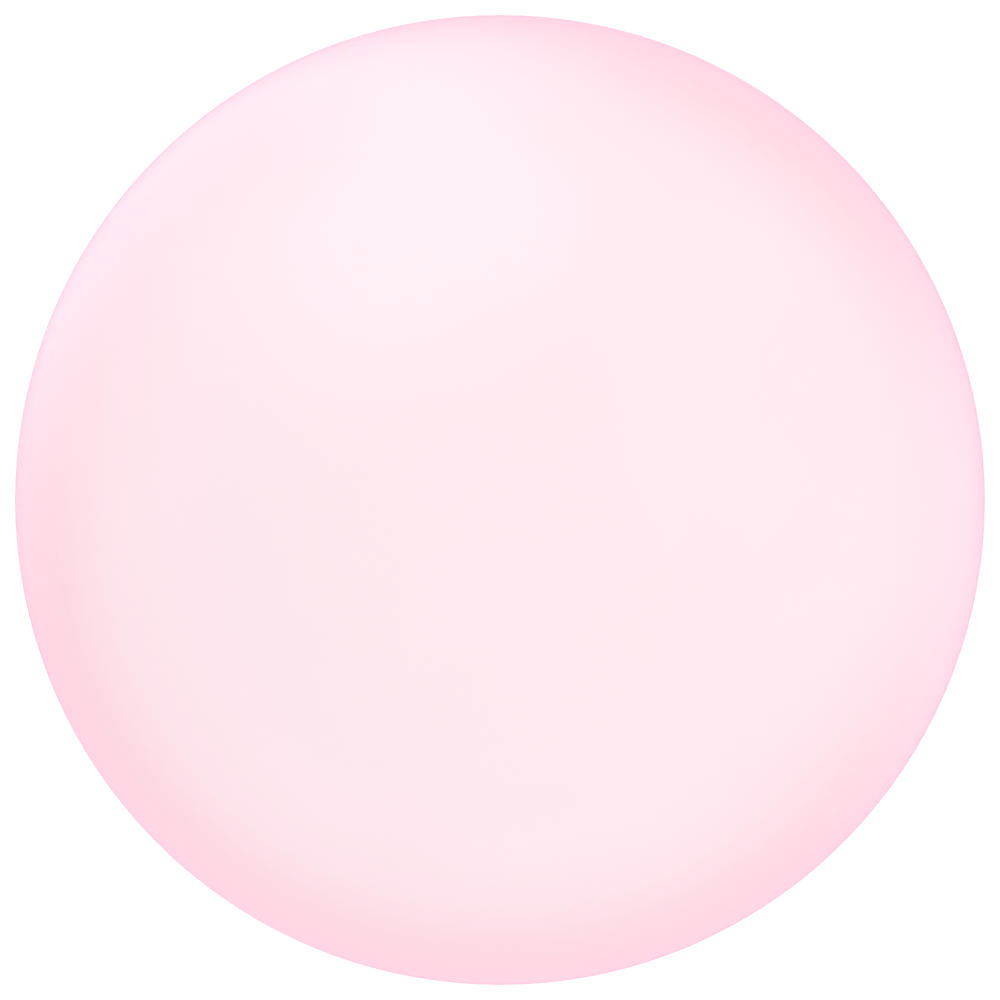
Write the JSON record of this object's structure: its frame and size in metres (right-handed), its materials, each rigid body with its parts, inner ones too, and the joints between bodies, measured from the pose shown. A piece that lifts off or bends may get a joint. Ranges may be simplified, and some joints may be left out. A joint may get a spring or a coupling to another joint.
{
  "type": "latex balloon",
  "caption": "Round blown-up latex balloon in pale pink, tied in a knot at its own neck, with an open tail and a rolled rim below the knot.",
  "frame": {"origin": "on the balloon's axis, in the middle of the gathered neck where a ribbon is tied, between bulb and knot", "axes": "+Z along the balloon's axis from the knot to the crown; X and Y are free, because the balloon is round"},
  "size_m": [0.2799, 0.28, 0.3356],
  "materials": {
    "film": "gloss",
    "neck_latex": "satin"
  },
  "bodies": {
    "balloon": {"bulb": "film", "neck": "neck_latex"},
    "knot": {"knot_turn": "neck_latex", "knot_tuck": "neck_latex"},
    "tail": {"tail_sleeve": "neck_latex", "rolled_bead": "neck_latex"}
  },
  "joints": [
    {"name": "knot_tilt", "type": "hinge", "parent": "balloon", "child": "knot", "pos_m": [0, 0, -0.003], "axis": [0, 1, 0], "range_deg": [-30, 30], "stiffness_Nm_per_rad": 0.001},
    {"name": "tail_bend", "type": "hinge", "parent": "knot", "child": "tail", "pos_m": [0, 0, -0.0125], "axis": [1, 0, 0], "range_deg": [-45, 45], "stiffness_Nm_per_rad": 0.0005}
  ]
}
